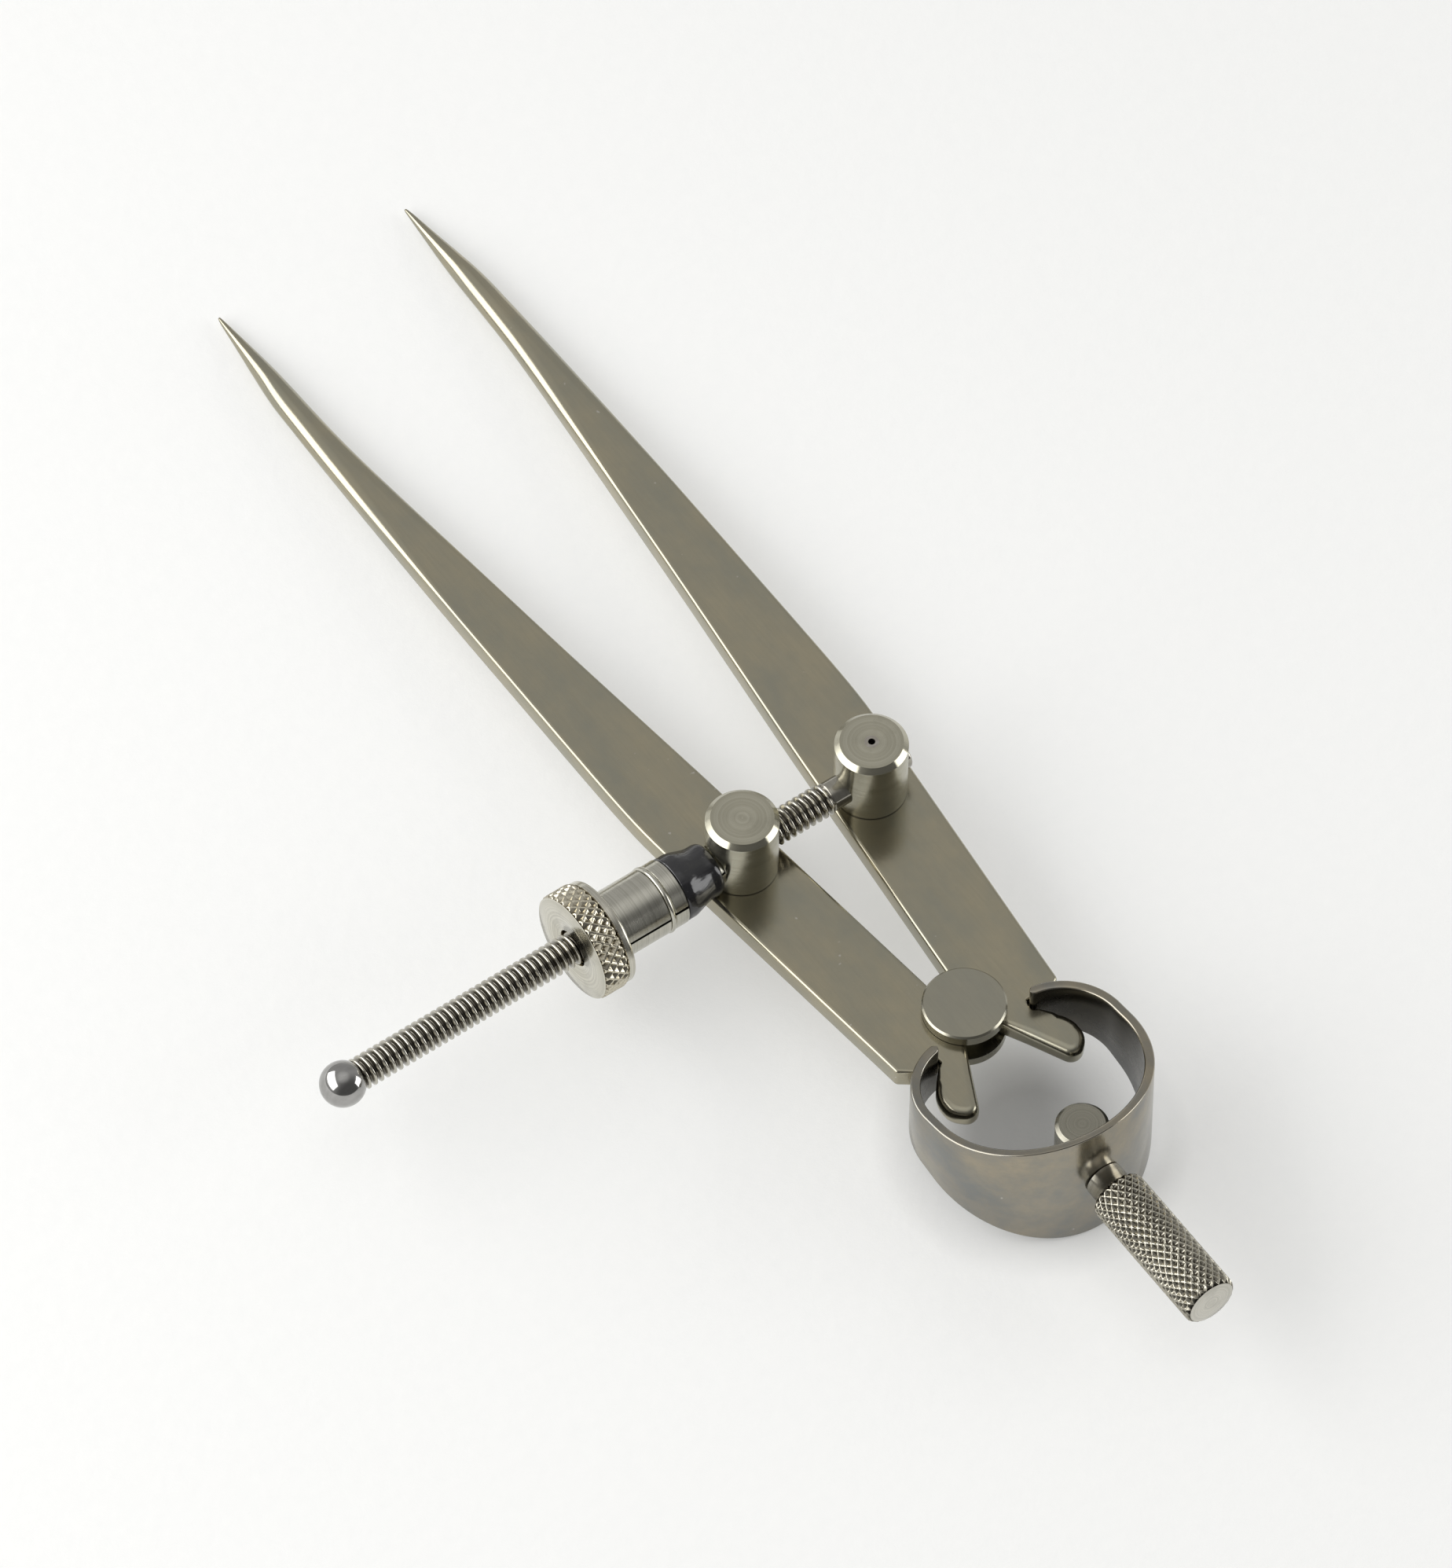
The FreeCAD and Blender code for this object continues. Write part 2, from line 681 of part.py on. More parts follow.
def make_jaw(label, side):
    """One jaw; the slot steps sideways where the barrel meets the band."""
    step_at = cell("band_end")
    gap = cell("jaw_slot") / 2 * side
    front = half_space(side, cell("jaw_start") - 1, step_at, gap + cell("jaw_slot_step"))
    rear = half_space(side, step_at, cell("head_end"), gap)
    both = doc.addObject("Part::Fuse", "JawSide")
    both.Base = front
    both.Tool = rear
    jaw = doc.addObject("Part::Common", label)
    jaw.Base = jaw_blank()
    jaw.Tool = both
    jaw.Label = label
    return jaw


def make_ring_spring():
    """Open wire ring in the groove between band and barrel."""
    wire = cell("wire_r")
    ring_x = (cell("band_end") + cell("barrel_start")) / 2
    ring = doc.addObject("Part::Torus", "Ring")
    bind(ring, Radius1=cell("groove_r") + wire + cell("running_gap"), Radius2=wire)
    place(ring, x=-post_x - ring_x, y=post_y, z=cell("screw_z"), **ALONG_X)
    gap = block((wire * 4, cell("ring_gap"), wire * 4), -post_x - ring_x - wire * 2,
                post_y - cell("ring_gap") / 2, cell("screw_z") - cell("nut_barrel_r") - wire * 2)
    return cut("nut_ring_spring", ring, gap)


def make_head():
    """Thumb ring that carries the jaws; its rear web clears the screw."""
    start, end, radius = cell("head_start"), cell("head_end"), cell("head_r")
    bend, edge = cell("head_round"), cell("head_edge")
    bore = cell("jaw_spigot_r") + cell("head_bore_gap")
    head = turned("nut_head", [
        (bore, start), (radius - bend, start), (radius, start + bend, bend * 1.05),
        (radius, end - edge), (radius - edge, end), (cell("screw_hole_r"), end),
        (cell("screw_hole_r"), end - cell("head_web")), (bore, end - cell("head_web"))])
    on_screw(head)
    return head


# ---------------------------------------------------------------- build and write

NODES = [
    make_leg("left_leg", -1), make_leg("right_leg", 1), make_stud(), make_bow(), make_handle(),
    make_handle_nut(), make_post("left_post", -1), make_post("right_post", 1),
    make_washer("left_post_washer", -1), make_washer("right_post_washer", 1), make_screw(),
    make_ball(), make_pin(), make_sleeve(), make_jaw("nut_upper_jaw", 1),
    make_jaw("nut_lower_jaw", -1), make_ring_spring(), make_head(),
]
doc.recompute()

failed = [item.Label for item in doc.Objects if {"Invalid", "Error"} & set(item.State)]
for node in NODES:
    if node.Shape.isNull() or not node.Shape.isValid() or len(node.Shape.Solids) != 1:
        failed.append(node.Label)
if failed:
    raise SystemExit("failed: " + ", ".join(failed))

os.makedirs("parts", exist_ok=True)
for node in NODES:
    node.Shape.exportStep(os.path.join("parts", node.Label + ".step"))
    print(f"{node.Label:20s} {node.Shape.Volume:9.1f} mm3")
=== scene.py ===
import math
import bpy
from mathutils import Euler, Matrix, Vector, noise


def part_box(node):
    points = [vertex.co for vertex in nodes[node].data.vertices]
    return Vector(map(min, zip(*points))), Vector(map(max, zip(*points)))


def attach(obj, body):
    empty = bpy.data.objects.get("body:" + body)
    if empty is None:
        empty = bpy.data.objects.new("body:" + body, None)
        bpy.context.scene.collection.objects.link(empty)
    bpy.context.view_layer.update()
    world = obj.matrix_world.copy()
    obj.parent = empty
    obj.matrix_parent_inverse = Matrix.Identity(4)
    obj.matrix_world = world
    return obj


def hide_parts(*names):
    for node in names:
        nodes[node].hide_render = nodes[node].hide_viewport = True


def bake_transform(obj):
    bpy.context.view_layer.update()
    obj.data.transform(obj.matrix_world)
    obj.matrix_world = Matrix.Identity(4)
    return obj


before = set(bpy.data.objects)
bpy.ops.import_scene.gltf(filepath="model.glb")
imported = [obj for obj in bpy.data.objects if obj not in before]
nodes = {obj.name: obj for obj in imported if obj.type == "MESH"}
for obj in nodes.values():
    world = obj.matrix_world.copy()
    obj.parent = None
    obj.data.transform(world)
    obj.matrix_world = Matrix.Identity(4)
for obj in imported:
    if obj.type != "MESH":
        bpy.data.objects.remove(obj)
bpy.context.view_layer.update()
MM = 0.001


# ---------------------------------------------------------------- places taken from the CAD

def middle(node):
    low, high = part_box(node)
    return (low + high) / 2


def half_size(node):
    low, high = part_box(node)
    return (high - low) / 2


SCREW = middle("adjusting_screw")
SCREW_R = half_size("adjusting_screw").z
POST_L, POST_R = middle("left_post"), middle("right_post")
HEAD_MID, HEAD_HALF = middle("nut_head"), half_size("nut_head")
HANDLE_LOW, HANDLE_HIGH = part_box("handle")
HANDLE_Z = middle("handle").z
BOW_LOW, BOW_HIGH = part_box("bow_spring")
MID_Z = middle("bow_spring").z


# ---------------------------------------------------------------- mesh helpers

def new_piece(name, verts, faces, material, slot, sharp):
    """A smooth-shaded mesh with creases kept where faces meet at more than the sharp angle."""
    mesh = bpy.data.meshes.new(name)
    mesh.from_pydata([Vector(v) * MM for v in verts], [], faces)
    mesh.validate()
    mesh.shade_smooth()
    mesh.set_sharp_from_angle(angle=math.radians(sharp))
    obj = bpy.data.objects.new(name, mesh)
    bpy.context.scene.collection.objects.link(obj)
    obj.data.materials.append(material)
    return obj


def stack(rings, to_world):
    """Surface from rings of (radius, turn, along); a ring of one point closes an end."""
    verts, faces, starts = [], [], []
    for ring in rings:
        starts.append((len(verts), len(ring)))
        for r, turn, along in ring:
            verts.append(to_world(r * math.cos(turn), r * math.sin(turn), along))
    for (a, na), (b, nb) in zip(starts, starts[1:]):
        if na == 1:
            faces += [(a, b + i, b + (i + 1) % nb) for i in range(nb)]
        elif nb == 1:
            faces += [(a + (i + 1) % na, a + i, b) for i in range(na)]
        else:
            faces += [(a + (i + 1) % na, a + i, b + i, b + (i + 1) % na) for i in range(na)]
    return verts, faces


def plain(profile, count):
    """Round rings for stack from (radius, along) points; a zero radius gives one point."""
    return [[(r, math.tau * i / count, a) for i in range(count if r > 0 else 1)]
            for r, a in profile]


def corner(centre_r, centre_a, size, start, end, steps):
    """Points of a rounded corner in a (radius, along) profile; angles in degrees."""
    out = []
    for i in range(steps + 1):
        t = math.radians(start + (end - start) * i / steps)
        out.append((centre_r + size * math.cos(t), centre_a + size * math.sin(t)))
    return out


def along_screw(u, v, along):
    """A place in millimetres from two offsets and the distance along the screw's axis."""
    return (along, SCREW.y / MM + u, SCREW.z / MM + v)


def merge(*parts):
    """One list of vertices and one of faces from several pairs of them."""
    verts, faces = [], []
    for more_verts, more_faces in parts:
        base = len(verts)
        verts += more_verts
        faces += [tuple(i + base for i in f) for f in more_faces]
    return verts, faces


# ---------------------------------------------------------------- materials

class Graph:
    """A short way to write shader nodes."""

    def __init__(self, name):
        self.material = bpy.data.materials.new(name)
        self.material.use_nodes = True
        self.tree = self.material.node_tree
        self.shader = self.tree.nodes["Principled BSDF"]
        self.where = self.add("ShaderNodeTexCoord").outputs["Object"]

    def add(self, kind, inputs=None, **settings):
        node = self.tree.nodes.new(kind)
        for key, value in settings.items():
            setattr(node, key, value)
        for key, value in (inputs or {}).items():
            self.feed(node.inputs[key], value)
        return node

    def feed(self, socket, value):
        if isinstance(value, bpy.types.NodeSocket):
            self.tree.links.new(value, socket)
        else:
            socket.default_value = value

    def math(self, operation, a, b=0.0):
        return self.add("ShaderNodeMath", {0: a, 1: b}, operation=operation).outputs[0]

    def mapped(self, scale, turn=0.0):
        node = self.add("ShaderNodeMapping", {"Vector": self.where})
        node.inputs["Scale"].default_value = scale
        node.inputs["Rotation"].default_value = (0.0, 0.0, turn)
        return node.outputs["Vector"]

    def noise(self, vector, scale=1.0, detail=2.0, rough=0.5):
        node = self.add("ShaderNodeTexNoise", {
            "Vector": vector, "Scale": scale, "Detail": detail, "Roughness": rough})
        return node.outputs["Fac"]

    def span(self, value, low, high, to_low=0.0, to_high=1.0):
        node = self.add("ShaderNodeMapRange", {
            "Value": value, "From Min": low, "From Max": high, "To Min": to_low, "To Max": to_high})
        return node.outputs["Result"]

    def mix(self, fac, a, b):
        node = self.add("ShaderNodeMix", data_type="RGBA")
        for key, value in ((0, fac), (6, a), (7, b)):
            self.feed(node.inputs[key], (*value, 1.0) if isinstance(value, tuple) else value)
        return node.outputs[2]

    def bump(self, height, strength, distance, normal=None):
        node = self.add("ShaderNodeBump", {"Height": height, "Strength": strength,
                                           "Distance": distance})
        if normal is not None:
            self.feed(node.inputs["Normal"], normal)
        return node.outputs["Normal"]

    def from_axis(self, centre, axis):
        """Distance from an axis and distance along it, both in metres."""
        shifted = self.add("ShaderNodeVectorMath", {0: self.where, 1: tuple(centre)},
                           operation="SUBTRACT").outputs[0]
        split = self.add("ShaderNodeSeparateXYZ", {0: shifted})
        along = split.outputs["XYZ".index(axis)]
        a, b = [split.outputs[i] for i in range(3) if "XYZ"[i] != axis]
        squares = self.math("ADD", self.math("MULTIPLY", a, a), self.math("MULTIPLY", b, b))
        return self.math("SQRT", squares), along


QUARTER_TURN = 0.25  # lines the stretched highlight up with the lathe's rings
SPECK = (0.72, 0.7, 0.66)
SEAM_DARK = (0.05, 0.045, 0.04)
SEAM_LEN = 0.3 * MM
FINE_BUMP = 0.01 * MM
RING_BUMP = 0.02 * MM
WAVE_BUMP = 0.2 * MM


def finish_steel(g, colour, rough, normal, anisotropic=0.0):
    """The inputs that all the steels share."""
    g.shader.inputs["Metallic"].default_value = 1.0
    g.shader.inputs["Anisotropic"].default_value = anisotropic
    g.shader.inputs["Anisotropic Rotation"].default_value = QUARTER_TURN
    g.feed(g.shader.inputs["Base Color"], colour)
    g.feed(g.shader.inputs["Roughness"], rough)
    g.feed(g.shader.inputs["Normal"], normal)
    return g.material


def rolled_steel(name, warm, cool, rough, turn):
    """Polished flat steel: fine lengthwise grain, soft blotches and faint heat tints."""
    g = Graph(name)
    grain = g.noise(g.mapped((2600.0, 130.0, 2600.0), turn=turn), detail=3.0)
    blotch = g.noise(g.mapped((140.0, 90.0, 140.0), turn=turn), detail=4.0, rough=0.6)
    specks = g.noise(g.where, scale=900.0, detail=1.0)
    tint = g.mix(g.span(blotch, 0.35, 0.68), warm, cool)
    colour = g.mix(g.span(grain, 0.4, 0.75, 0.0, 0.3), tint, tuple(c * 0.8 for c in warm))
    colour = g.mix(g.span(specks, 0.79, 0.83, 0.0, 0.4), colour, SPECK)
    roughness = g.math("ADD", g.span(blotch, 0.3, 0.7, rough * 0.85, rough * 1.15),
                       g.span(grain, 0.3, 0.7, -0.01, 0.02))
    normal = g.bump(grain, 0.05, FINE_BUMP)
    normal = g.bump(blotch, 0.12, WAVE_BUMP, normal)
    return finish_steel(g, colour, roughness, normal)


def turned_steel(name, centre, axis, light, dark, rough, anisotropic=0.6, groove_shade=None, seam=None):
    """Lathe-turned steel: fine rings round an axis, painted shade in the grooves and a dark seam.
    """
    g = Graph(name)
    radius, along = g.from_axis(centre, axis)
    rings = g.add("ShaderNodeCombineXYZ", {0: radius, 1: along, 2: 0.0}).outputs[0]
    fine = g.noise(rings, scale=5200.0, detail=2.0, rough=0.7)
    coarse = g.noise(rings, scale=1100.0, detail=2.0)
    stain = g.noise(g.where, scale=260.0, detail=4.0, rough=0.62)
    colour = g.mix(g.span(fine, 0.35, 0.7), light, dark)
    colour = g.mix(g.span(stain, 0.52, 0.75, 0.0, 0.45), colour, tuple(c * 0.72 for c in dark))
    # painted shade: the colour darkens toward the root of the thread or knurl grooves
    if groove_shade:
        root, crest, shade_colour = groove_shade
        colour = g.mix(g.span(radius, root * MM, crest * MM, 0.88, 0.0), colour, shade_colour)
    if seam:
        colour = g.mix(g.span(along, seam, seam + SEAM_LEN, 0.9, 0.0), colour, SEAM_DARK)
    roughness = g.math("ADD", g.span(coarse, 0.3, 0.7, rough * 0.9, rough * 1.15),
                       g.span(stain, 0.4, 0.8, -0.02, 0.06))
    normal = g.bump(fine, 0.06, FINE_BUMP)
    normal = g.bump(coarse, 0.05, RING_BUMP, normal)
    made = finish_steel(g, colour, roughness, normal, anisotropic)
    tangent = g.add("ShaderNodeTangent", direction_type="RADIAL", axis=axis)
    g.feed(g.shader.inputs["Tangent"], tangent.outputs[0])
    return made


def polished_steel(name, light, dark, rough):
    """Mirror-like steel with light scratches and smears."""
    g = Graph(name)
    smear = g.noise(g.mapped((400.0, 900.0, 500.0)), detail=4.0, rough=0.6)
    scratch = g.noise(g.mapped((300.0, 5200.0, 900.0)), detail=2.0)
    colour = g.mix(g.span(smear, 0.35, 0.7), light, dark)
    roughness = g.span(smear, 0.3, 0.75, rough, rough + 0.1)
    normal = g.bump(scratch, 0.05, FINE_BUMP)
    return finish_steel(g, colour, roughness, normal)


RUBBER_LUMP = 0.4 * MM


def black_rubber(name):
    """Glossy black rubber with shallow lengthwise lumps and dust."""
    g = Graph(name)
    lumps = g.noise(g.mapped((220.0, 620.0, 620.0)), detail=2.0)
    dust = g.noise(g.where, scale=2600.0, detail=3.0)
    colour = g.mix(g.span(dust, 0.62, 0.85), (0.01, 0.01, 0.012), (0.04, 0.04, 0.042))
    g.feed(g.shader.inputs["Base Color"], colour)
    g.feed(g.shader.inputs["Roughness"], g.span(dust, 0.3, 0.8, 0.12, 0.24))
    g.shader.inputs["Specular IOR Level"].default_value = 0.75
    g.feed(g.shader.inputs["Normal"], g.bump(lumps, 0.4, RUBBER_LUMP))
    return g.material


TILT = math.radians(5.89)  # of each leg from the tool's centre line
LEG_WARM, LEG_COOL = (0.43, 0.39, 0.285), (0.345, 0.335, 0.27)
mat_leg_l = rolled_steel("leg_steel_left", LEG_WARM, LEG_COOL, 0.2, -TILT)
mat_leg_r = rolled_steel("leg_steel_right", LEG_WARM, LEG_COOL, 0.2, TILT)

STUD_GRAIN_TURN, BOW_GRAIN_TURN = 0.4, 1.2
mat_stud = rolled_steel("stud_steel", (0.39, 0.37, 0.295), (0.34, 0.33, 0.275), 0.24,
                        STUD_GRAIN_TURN)
mat_bow = rolled_steel("bow_steel", (0.36, 0.32, 0.245), (0.23, 0.235, 0.225), 0.2,
                       BOW_GRAIN_TURN)
# painted shade: a much darker copy of the bow steel for the band's inner faces
mat_bow_inside_painted_shade = rolled_steel("bow_inside_painted_shade_steel", (0.12, 0.112, 0.095), (0.075, 0.074, 0.07),
                              0.26, BOW_GRAIN_TURN)

POST_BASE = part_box("left_leg")[1].z - POST_L.z
POST_LIGHT, POST_DARK = (0.52, 0.5, 0.405), (0.42, 0.4, 0.315)
mat_post_l = turned_steel("left_post_steel", POST_L, "Z", POST_LIGHT, POST_DARK, 0.2, 0.85,
                          seam=POST_BASE)
mat_post_r = turned_steel("right_post_steel", POST_R, "Z", POST_LIGHT, POST_DARK, 0.2, 0.85,
                          seam=POST_BASE)

# painted shade in the grooves: root radius and crest radius in millimetres, colour
HEAD_GROOVE_SHADE = (HEAD_HALF.z / MM - 0.55, HEAD_HALF.z / MM - 0.2, (0.16, 0.13, 0.08))
THREAD_GROOVE_SHADE = (1.8, 2.3, (0.07, 0.062, 0.05))
GRIP_GROOVE_SHADE = (3.56, 3.95, (0.045, 0.04, 0.03))
mat_nut = turned_steel("nut_steel", SCREW, "X", (0.58, 0.565, 0.5), (0.44, 0.43, 0.37), 0.2)
mat_head = turned_steel("head_steel", SCREW, "X", (0.66, 0.64, 0.56), (0.5, 0.48, 0.41),
                        0.18, 0.5)
mat_head_knurl = turned_steel("head_knurl_steel", SCREW, "X", (0.62, 0.58, 0.47),
                              (0.5, 0.46, 0.36), 0.16, 0.0, groove_shade=HEAD_GROOVE_SHADE)
mat_screw = turned_steel("screw_steel", SCREW, "X", (0.56, 0.54, 0.48), (0.42, 0.4, 0.34),
                         0.16, 0.2, groove_shade=THREAD_GROOVE_SHADE)

HANDLE_AXIS = (0.0, 0.0, HANDLE_Z)
mat_handle = turned_steel("handle_steel", HANDLE_AXIS, "Y", (0.56, 0.53, 0.45),
                          (0.38, 0.36, 0.29), 0.16, 0.0, groove_shade=GRIP_GROOVE_SHADE)
mat_handle_end = turned_steel("handle_end_steel", HANDLE_AXIS, "Y", (0.62, 0.6, 0.54),
                              (0.47, 0.455, 0.4), 0.18, 0.6)
mat_barrel = turned_steel("barrel_steel", middle("handle_nut"), "Z", (0.34, 0.325, 0.27),
                          (0.26, 0.25, 0.205), 0.26, 0.4)
mat_ball = polished_steel("ball_steel", (0.4, 0.395, 0.385), (0.33, 0.325, 0.315), 0.06)
mat_pin = polished_steel("pin_steel", (0.5, 0.47, 0.42), (0.3, 0.27, 0.23), 0.2)
mat_rubber = black_rubber("nose_rubber")

for name, material in (
        ("fulcrum_stud", mat_stud),
        ("handle_nut", mat_barrel), ("left_post", mat_post_l), ("right_post", mat_post_r),
        ("left_post_washer", mat_post_l), ("right_post_washer", mat_post_r),
        ("screw_ball", mat_ball), ("screw_pin", mat_pin), ("nut_upper_jaw", mat_nut),
        ("nut_lower_jaw", mat_nut)):
    nodes[name].data.materials.clear()
    nodes[name].data.materials.append(material)


# ---------------------------------------------------------------- legs

LEG_THICK = 3.3
EDGE_ROUND = 0.55
ROUND_STEPS = 6
ROUNDING_FROM, ROUNDING_TO = 92.0, 137.0  # where the edges round off into the point
RIM_LIP = 0.06
TIP_V = 152.4
WIDTHS = (  # distance along the leg, inner edge, outer edge
    (8.0, 1.0, 13.7), (20.0, 1.0, 13.7), (34.0, 1.0, 13.7), (46.0, 1.0, 13.7),
    (51.0, 1.03, 13.58), (57.0, 1.1, 13.12), (66.0, 1.22, 12.2), (78.0, 1.36, 10.9),
    (90.0, 1.42, 9.6), (102.0, 1.4, 8.28), (112.0, 1.3, 7.18), (119.0, 1.2, 6.39),
    (123.0, 1.1, 5.92), (127.0, 0.93, 5.42), (132.0, 0.6, 4.75), (137.0, 0.25, 4.0),
    (142.0, 0.0, 2.84), (147.0, -0.1, 1.58), (151.0, -0.16, 0.62), (152.0, -0.16, 0.32),
    (152.3, -0.12, 0.2))
STATIONS = (*range(8, 120, 2), *range(119, 152), 151.5, 151.9, 152.15, 152.3)
INNER_U, OUTER_U = WIDTHS[0][1:]

SEAT_R = 3.05
SEAT_STEPS = 14
SEAT_END = (2.15, -2.163)
HEAD_CORNERS = (  # u, v, corner radius, rim rounding
    (3.0, -3.55, 0, 0.6), (4.2, -5.5, 0, 0.9), (5.6, -7.78, 0, 1.15),
    (9.74, -14.5, 1.75, 1.25), (12.8, -11.0, 3.2, 1.25), (12.1, -7.6, 5.0, 1.1),
    (10.4, -5.97, 0, 0.6), (9.6, -5.28, 0, 0.42), (8.95, -4.7, 0, 0.32),
    (8.1, -4.4, 0.35, 0.3),
    (8.0, -2.7, 0.35, 0.3), (9.4, -2.62, 0, 0.3), (10.5, -2.82, 0, 0.3),
    (11.59, -3.3, 0.4, 0.3), (OUTER_U, -1.5, 0.8, 0.5), (OUTER_U, 2.0, 0, EDGE_ROUND))
FILLET_STEPS = 8


def smooth(value, low, high):
    """A soft step from 0 at low to 1 at high."""
    share = min(1.0, max(0.0, (value - low) / (high - low)))
    return share * share * (3 - 2 * share)


def edge_at(v, column):
    """Width table read with a cubic that keeps the neighbouring slopes."""
    rows = WIDTHS
    i = max(j for j in range(len(rows) - 1) if rows[j][0] <= v)

    def slope(j):
        k0, k1 = max(0, j - 1), min(len(rows) - 1, j + 1)
        return (rows[k1][column] - rows[k0][column]) / (rows[k1][0] - rows[k0][0])
    (v0, v1), (y0, y1) = (rows[i][0], rows[i + 1][0]), (rows[i][column], rows[i + 1][column])
    t, gap = (v - v0) / (v1 - v0), v1 - v0
    if y1 == y0:
        return y0
    return ((2 * t ** 3 - 3 * t ** 2 + 1) * y0 + (t ** 3 - 2 * t ** 2 + t) * gap * slope(i)
            + (3 * t ** 2 - 2 * t ** 3) * y1 + (t ** 3 - t ** 2) * gap * slope(i + 1))


def fillet(points):
    """Round the corners of an open chain of (u, v, corner radius, rim rounding) points."""
    out = []
    for i, (u, v, size, rim) in enumerate(points):
        if size <= 0 or i in (0, len(points) - 1):
            out.append((u, v, rim))
            continue
        here = Vector((u, v))
        before = (Vector(points[i - 1][:2]) - here).normalized()
        after = (Vector(points[i + 1][:2]) - here).normalized()
        half = before.angle(after) / 2
        back = size / math.tan(half)
        centre = here + (before + after).normalized() * (size / math.sin(half))
        first, last = here + before * back - centre, here + after * back - centre
        sweep = first.angle_signed(last)
        for k in range(FILLET_STEPS + 1):
            spoke = first.copy()
            spoke.rotate(Matrix.Rotation(-sweep * k / FILLET_STEPS, 2))
            out.append((*(centre + spoke), rim))
    return out


def head_outline():
    """The head of a leg from its inner edge, round stud seat, lobe and notch, to its outer edge."""
    first, last = math.asin(INNER_U / SEAT_R), math.atan2(*SEAT_END)
    chain = [(INNER_U, 5.0, 0, EDGE_ROUND)]
    for k in range(SEAT_STEPS + 1):
        t = math.pi / 2 - first - (last - first) * k / SEAT_STEPS
        chain.append((SEAT_R * math.cos(t), SEAT_R * math.sin(t), 0, EDGE_ROUND))
    chain += HEAD_CORNERS
    return fillet(chain)


def leg_ring(points, matched):
    """Per point: place, inward direction, rim rounding across and up, half thickness, room."""
    out = []
    count = len(points)
    for i, (u, v, rim) in enumerate(points):
        if i < matched or i >= count - matched:
            half = (edge_at(v, 2) - edge_at(v, 1)) / 2
            tall = min(LEG_THICK / 2, half)
            grow = smooth(v, ROUNDING_FROM, ROUNDING_TO)
            across = min(half - 0.03, EDGE_ROUND + (half - EDGE_ROUND) * grow)
            up = min(tall - 0.02, EDGE_ROUND + (tall - EDGE_ROUND) * grow)
            out.append((u, v, 1.0 if i < matched else -1.0, 0.0, across, up, tall, half))
            continue
        before, after = Vector(points[i - 1][:2]), Vector(points[i + 1][:2])
        along = (after - before).normalized()
        out.append((u, v, -along.y, along.x, rim, rim, LEG_THICK / 2, OUTER_U / 2))
    return out


def leg_mesh(side):
    """The leg's outline repeated up its rounded rim, both flat faces and a fan at the tip."""
    matched = len(STATIONS)
    points = [(edge_at(v, 1), v, 0.0) for v in reversed(STATIONS)]
    points += head_outline()
    points += [(edge_at(v, 2), v, 0.0) for v in STATIONS]
    rings = leg_ring(points, matched)
    count = len(rings)
    levels = [(k, -1) for k in range(ROUND_STEPS + 1, -1, -1)]
    levels += [(k, 1) for k in range(ROUND_STEPS + 2)]
    turn = -side * TILT
    verts = []
    for k, sign in levels:
        for u, v, du, dv, across, up, tall, half in rings:
            lean = math.radians(90 * min(k, ROUND_STEPS) / ROUND_STEPS)
            inset = across * (1 - math.cos(lean))
            if k > ROUND_STEPS:
                inset = min(across + RIM_LIP, half - 0.01)
            z = sign * (tall - up + up * math.sin(lean))
            x, y = side * (u + du * inset), v + dv * inset
            verts.append((x * math.cos(turn) - y * math.sin(turn),
                          x * math.sin(turn) + y * math.cos(turn), MID_Z / MM + z))
    faces = []
    rows = len(levels)
    for j in range(rows - 1):
        for i in range(count - 1):
            a, b = j * count + i, (j + 1) * count + i
            faces.append((a, a + 1, b + 1, b))
    for base in (0, (rows - 1) * count):
        flat = []
        for i in range(matched - 1):
            far = count - 1 - i
            flat.append((base + i, base + far, base + far - 1, base + i + 1))
        flat.append(tuple(base + i for i in range(count - matched, matched - 2, -1)))
        faces += [f[::-1] for f in flat] if base else flat
    tip = len(verts)
    verts.append((TIP_V * math.sin(-turn), TIP_V * math.cos(turn), MID_Z / MM))
    loop = [j * count for j in range(rows)]
    loop += [j * count + count - 1 for j in range(rows - 1, -1, -1)]
    faces += [(loop[k], loop[(k + 1) % len(loop)], tip) for k in range(len(loop))]
    return verts, faces if side > 0 else [f[::-1] for f in faces]


def make_leg(side, body, material):
    leg = new_piece(body + "_steel", *leg_mesh(side), material, "leg_steel", sharp=50.0)
    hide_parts(body)
    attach(leg, body)


make_leg(-1, "left_leg", mat_leg_l)
make_leg(1, "right_leg", mat_leg_r)


# ---------------------------------------------------------------- adjusting screw

PITCH = 25.4 / 24
THREAD_DEPTH = 0.62
THREAD_STEPS = 10  # per turn, along the screw
SCREW_FACES = 60
FLAT_SHARE, FLANK_SHARE = 0.4, 0.32  # of the pitch: root begins, length of the flank
PLAIN_R = 2.15
PLAIN_START, PLAIN_FADE = 3.6, 0.5
NUB_ROUND, NUB_FACES, NUB_INSIDE = 0.3, 48, 1.0


def thread_height(phase):
    """Share of the thread's depth at a phase from 0 to 1, with a rounded crest and root."""
    from_crest = abs((phase + 0.5) % 1.0 - 0.5)
    share = min(1.0, max(0.0, (FLAT_SHARE - from_crest) / FLANK_SHARE))
    return share * share * (3 - 2 * share) * 0.6 + share * 0.4


